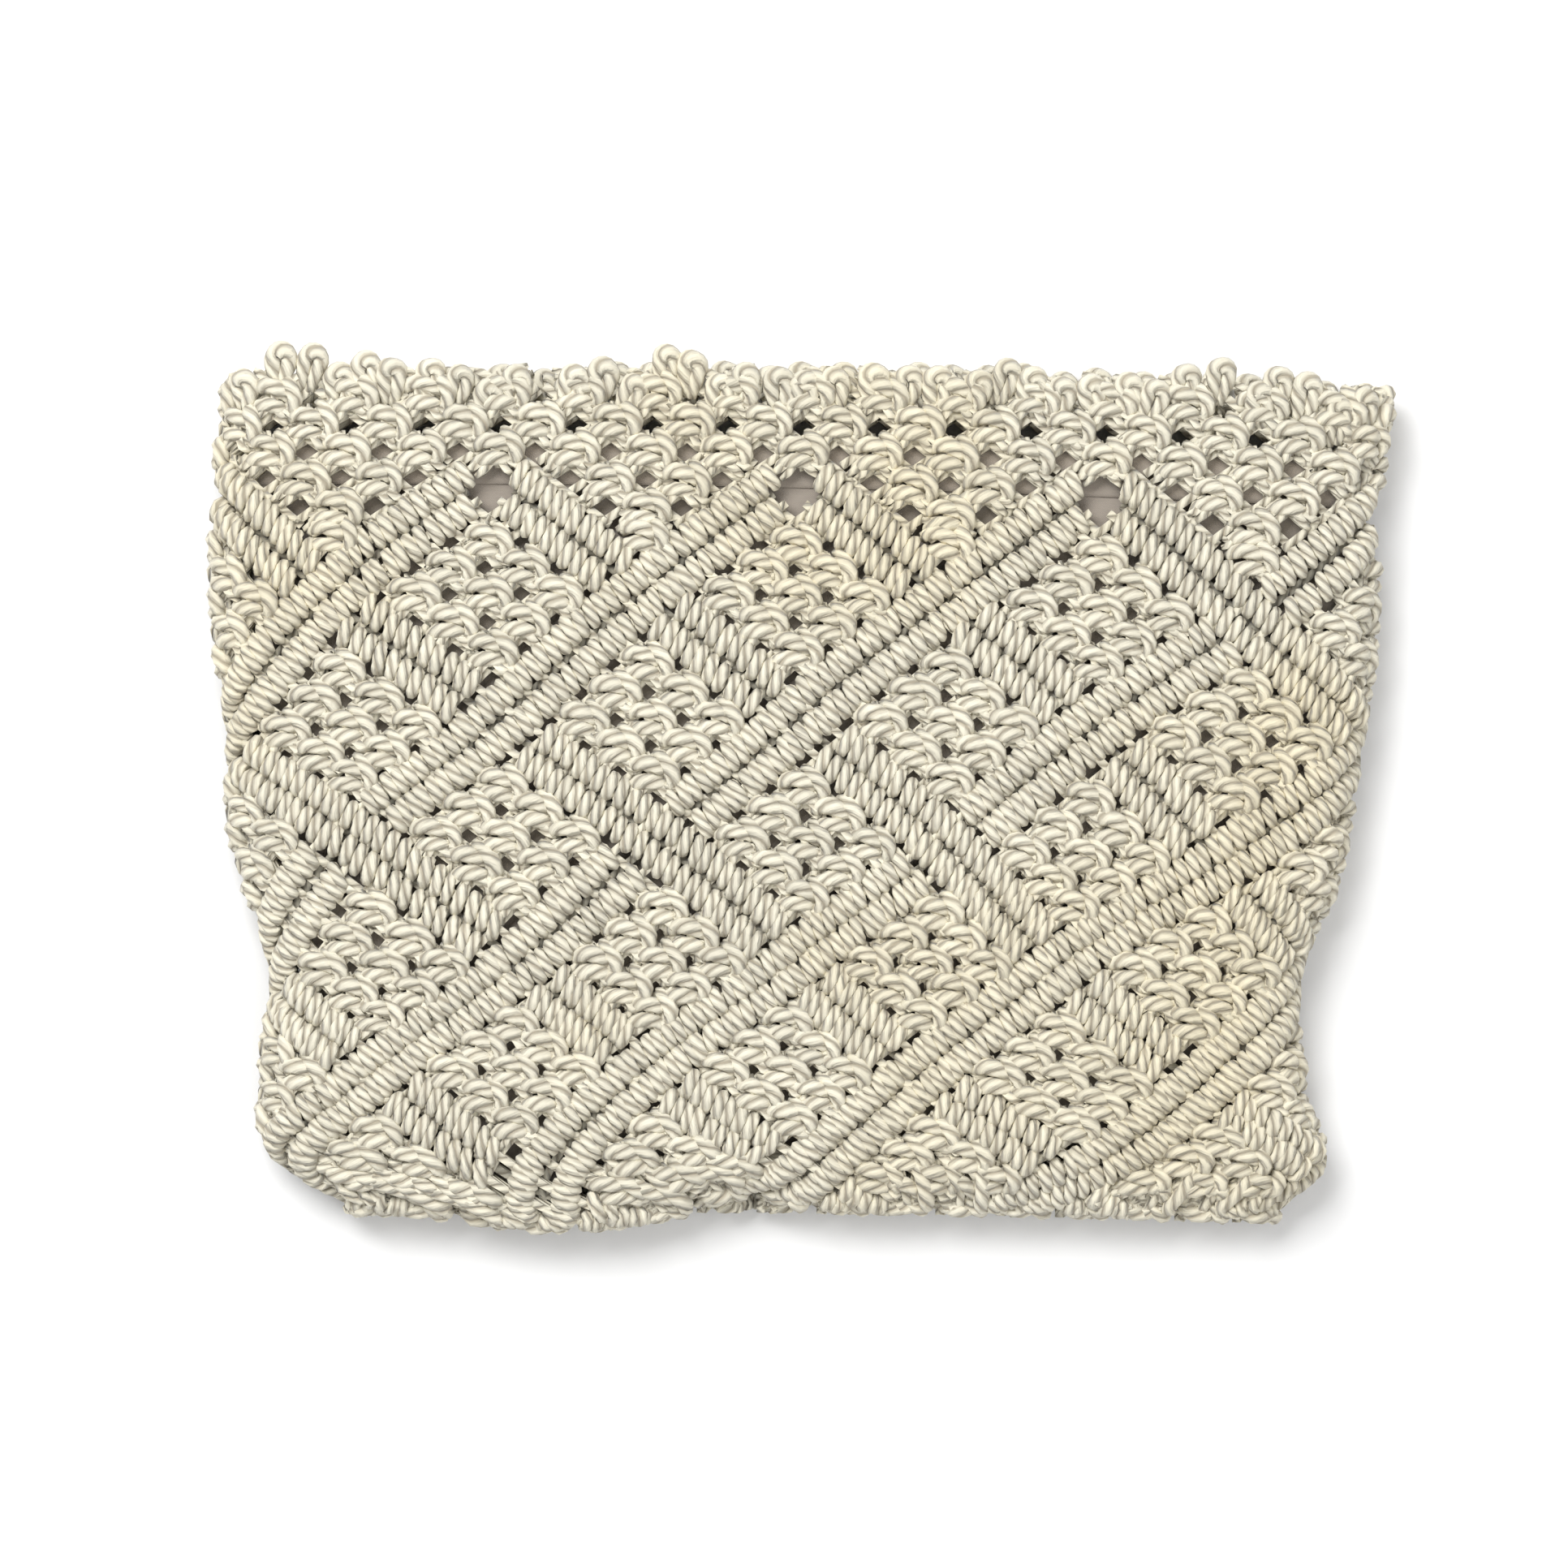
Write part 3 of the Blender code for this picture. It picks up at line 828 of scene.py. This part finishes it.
# The front's loops, in millimetres: how far right of the bag's middle and above its base each
# loop's top is.
FRONT_LOOPS = np.array((
    (-135.8, 204.3), (-126.7, 210.6), (-119.2, 210.6), (-112.8, 205.7), (-106.5, 208.4),
    (-100.1, 206.9), (-90.4, 206.9), (-83.3, 205.7), (-76.3, 201.9), (-69.8, 205.5),
    (-55.9, 205.3), (-48.6, 206.9), (-41.2, 203.3), (-33.1, 210.4), (-27.0, 208.8),
    (-20.4, 203.3), (-14.1, 205.9), (-6.1, 204.9), (0.6, 203.9), (7.7, 204.7),
    (17.2, 205.3), (25.6, 205.1), (32.5, 204.9), (42.6, 204.3), (49.6, 206.9),
    (55.5, 204.7), (62.8, 202.3), (69.8, 202.9), (79.1, 203.3), (85.4, 201.9),
    (93.0, 205.5), (101.5, 207.1), (110.8, 201.1), (115.4, 204.9), (122.3, 203.3),
    (130.6, 197.4), (136.2, 199.6), (141.5, 196.0),
))


def add_picots(bundle, blank, random):
    """Small round loops around the mouth: the front's as listed, the back's in even pairs."""
    spots = []
    mouth_around = np.linspace(0, SIDE_REPEATS, MOUTH_SAMPLES)
    mouth = wall_point(mouth_around, MOUTH_ROW)
    for right, up in FRONT_LOOPS:
        around = np.interp(right * MILLIMETRE + FRAME_SHIFT[0], mouth[:, 0], mouth_around)
        mouth_up = np.interp(around, mouth_around, mouth[:, 1])
        over_mouth = (up - PICOT_TOP) * MILLIMETRE + FRAME_SHIFT[1] - mouth_up
        spots.append((around, MOUTH_ROW - over_mouth / ROW_LENGTH))
    for pair in range(int(SIDE_REPEATS * KNOTS_ACROSS)):
        middle = SIDE_REPEATS + (pair + PICOT_PAIR_START) / KNOTS_ACROSS
        pair_lift = random.normal(0, PAIR_LIFT_SPREAD)
        for side in (-1, 1):
            around = middle + side * PICOT_SPREAD + random.normal(0, PICOT_AROUND_SPREAD)
            spots.append((around, PICOT_ROW + pair_lift + random.normal(0, PICOT_LIFT_SPREAD)))
    for around, down in spots:
        turn = random.normal(0, PICOT_TURN_SPREAD)
        bent = turned_points(PICOT_LOOP, turn, 1 + random.normal(0, PICOT_SIZE_SPREAD))
        place = (np.array([around]), np.array([down]))
        add_strand(bundle, blank, *place, bent, PICOT_RADIUS, random, jitter=PICOT_JITTER)


RANDOM_SEED = 20261

random = np.random.default_rng(RANDOM_SEED)
cord_material = cotton_cord_finish("cotton_cord")
picot_material = cotton_cord_finish("picot_cord", lightness=1.02)

front_wrap = CordBlank(7, 8)
back_wrap = CordBlank(7, 6)
front_strand = CordBlank(8, 8)
back_strand = CordBlank(7, 6)
leg_cord = CordBlank(4, 6)
holding_cord = CordBlank(110, 6)
working_cord = CordBlank(90, 6)
short_working_cord = CordBlank(20, 6)
picot_cord = CordBlank(19, 8)

pieces = []
for side_name, is_front, blank in (("front", True, front_wrap), ("back", False, back_wrap)):
    bands = CordBundle()
    for leans_forward in (True, False):
        wraps = band_wraps(leans_forward)
        around, _ = crossing_lines(wraps[:, 0], wraps[:, 1])
        chosen = on_the_front(around) == is_front
        add_wraps(bands, blank, wraps[chosen, 0], wraps[chosen, 1], leans_forward, random)
    pieces.append(bands.to_object(f"{side_name}_bands", cord_material))

places = knot_places()
for side_name, is_front, blank in (("front", True, front_strand), ("back", False, back_strand)):
    knots = CordBundle()
    links = CordBundle()
    chosen = on_the_front(places[:, 0]) == is_front
    add_knots(knots, links, blank, leg_cord, places[chosen, 0], places[chosen, 1], random)
    pieces.append(knots.to_object(f"{side_name}_knots", cord_material))
    pieces.append(links.to_object(f"{side_name}_links", cord_material))

cores = CordBundle()
add_holding_cords(cores, holding_cord, random)
pieces.append(cores.to_object("holding_cords", cord_material))
workers = CordBundle()
add_working_cords(workers, working_cord, short_working_cord, random)
pieces.append(workers.to_object("working_cords", cord_material))

for piece in pieces:
    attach(piece, "root")
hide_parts("knotted_body")

rim = CordBundle()
add_picots(rim, picot_cord, random)
picots = rim.to_object("picots", picot_material)
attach(picots, "root")
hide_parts("picot_rim")


def cloth_tube(name, finish, top_row, low_row, inset, thickness, rows, closed):
    """A thin tube of cloth inside the wall; closed, it is a bag with a seam at its bottom."""
    bm = bmesh.new()
    bmesh.ops.create_grid(bm, x_segments=CLOTH_COLUMNS, y_segments=rows, size=0.5)
    flow = bm.loops.layers.uv.new("cloth_flow")
    threads_down = (low_row - top_row) * THREADS_PER_ROW
    for face in bm.faces:
        for corner in face.loops:
            place = corner.vert.co
            corner[flow].uv = ((place.x + 0.5) * THREADS_AROUND, (place.y + 0.5) * threads_down)
    around = np.array([vertex.co.x + 0.5 for vertex in bm.verts]) * REPEATS
    share = 0.5 - np.array([vertex.co.y for vertex in bm.verts])
    down = top_row + share * (low_row - top_row)
    spots = wall_point(around, down, LINING_SIDE_EASE, inset)
    if closed:
        pinch = np.clip((share - SEAM_START) / (1 - SEAM_START), 0, 1) ** 2
        level = wall_point(around * 0, down, LINING_SIDE_EASE, inset)[:, 2]
        spots[:, 2] += (level - spots[:, 2]) * pinch
    for vertex, spot in zip(bm.verts, spots):
        vertex.co = spot
    bmesh.ops.remove_doubles(bm, verts=bm.verts[:], dist=WELD_DISTANCE)
    bmesh.ops.recalc_face_normals(bm, faces=bm.faces[:])
    mesh = bpy.data.meshes.new(name)
    bm.to_mesh(mesh)
    bm.free()
    mesh.polygons.foreach_set("use_smooth", np.ones(len(mesh.polygons), bool))
    mesh.materials.append(finish)
    made = bpy.data.objects.new(name, mesh)
    bpy.context.scene.collection.objects.link(made)
    thicken = made.modifiers.new("cloth", "SOLIDIFY")
    thicken.thickness = thickness
    thicken.offset = -1.0
    return made


lining_inset = WALL + LINING_GAP
lining = cloth_tube(
    "lining_bag", lining_cloth_finish("lining_cloth", LINING_LIGHTNESS), LINING_TOP_ROW,
    LINING_LOW_ROW, lining_inset + LINING_UNDER_HEM, LINING_THICKNESS, LINING_CLOTH_ROWS, True,
)
hem = cloth_tube(
    "lining_hem", lining_cloth_finish("lining_hem_cloth", HEM_LIGHTNESS),
    LINING_TOP_ROW - HEM_PAST_LINING, LINING_HEM_ROW, lining_inset, HEM_THICKNESS,
    HEM_CLOTH_ROWS, False,
)
for piece in (lining, hem):
    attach(piece, "root")
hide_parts("lining")


FLOOR_HALF = 3.0
FLOOR_WHITE = (0.93, 0.93, 0.93, 1.0)
FLOOR_GREY = (0.9, 0.9, 0.9, 1.0)
PHOTO_WIDTH = 0.3818
SENSOR_WIDTH = 36.0
CAMERA_DISTANCE = 1.5
CAMERA_PLACE = (-0.003075, 0.000369)
FRONT_LEVEL = 0.02
WORLD_STRENGTH = 0.45


def make_floor():
    """A plain pale floor under the bag."""
    bm = bmesh.new()
    bmesh.ops.create_grid(bm, x_segments=1, y_segments=1, size=FLOOR_HALF)
    mesh = bpy.data.meshes.new("floor")
    bm.to_mesh(mesh)
    bm.free()
    finish = Finish("floor_white")
    grain = finish.noise(finish.place(), 40.0)
    finish.set(Base_Color=finish.mix(grain * 0.02, FLOOR_WHITE, FLOOR_GREY), Roughness=0.9)
    mesh.materials.append(finish.material)
    floor = bpy.data.objects.new("floor", mesh)
    bpy.context.scene.collection.objects.link(floor)


def make_light(name, place, size, power):
    """A soft square lamp that faces the bag's middle."""
    lamp = bpy.data.lights.new(name, "AREA")
    lamp.size = size
    lamp.energy = power
    made = bpy.data.objects.new(name, lamp)
    made.location = place
    made.rotation_mode = "QUATERNION"
    made.rotation_quaternion = (-Vector(place)).to_track_quat("-Z", "Y")
    bpy.context.scene.collection.objects.link(made)


def make_camera():
    """Straight down over the bag, framed as the photograph is."""
    data = bpy.data.cameras.new("camera")
    data.sensor_width = SENSOR_WIDTH
    data.lens = SENSOR_WIDTH * CAMERA_DISTANCE / PHOTO_WIDTH
    camera = bpy.data.objects.new("camera", data)
    camera.location = (*CAMERA_PLACE, CAMERA_DISTANCE + FRONT_LEVEL)
    bpy.context.scene.collection.objects.link(camera)
    bpy.context.scene.camera = camera


make_floor()
make_light("key_light", (-0.5, 0.75, 1.5), size=0.9, power=26.0)
make_light("fill_light", (0.7, -0.5, 1.6), size=1.6, power=9.0)
world = bpy.data.worlds.new("studio")
bpy.context.scene.world = world
world.use_nodes = True
background = world.node_tree.nodes["Background"]
background.inputs["Color"].default_value = (1, 1, 1, 1)
background.inputs["Strength"].default_value = WORLD_STRENGTH
bpy.context.scene.view_settings.view_transform = "Standard"
make_camera()
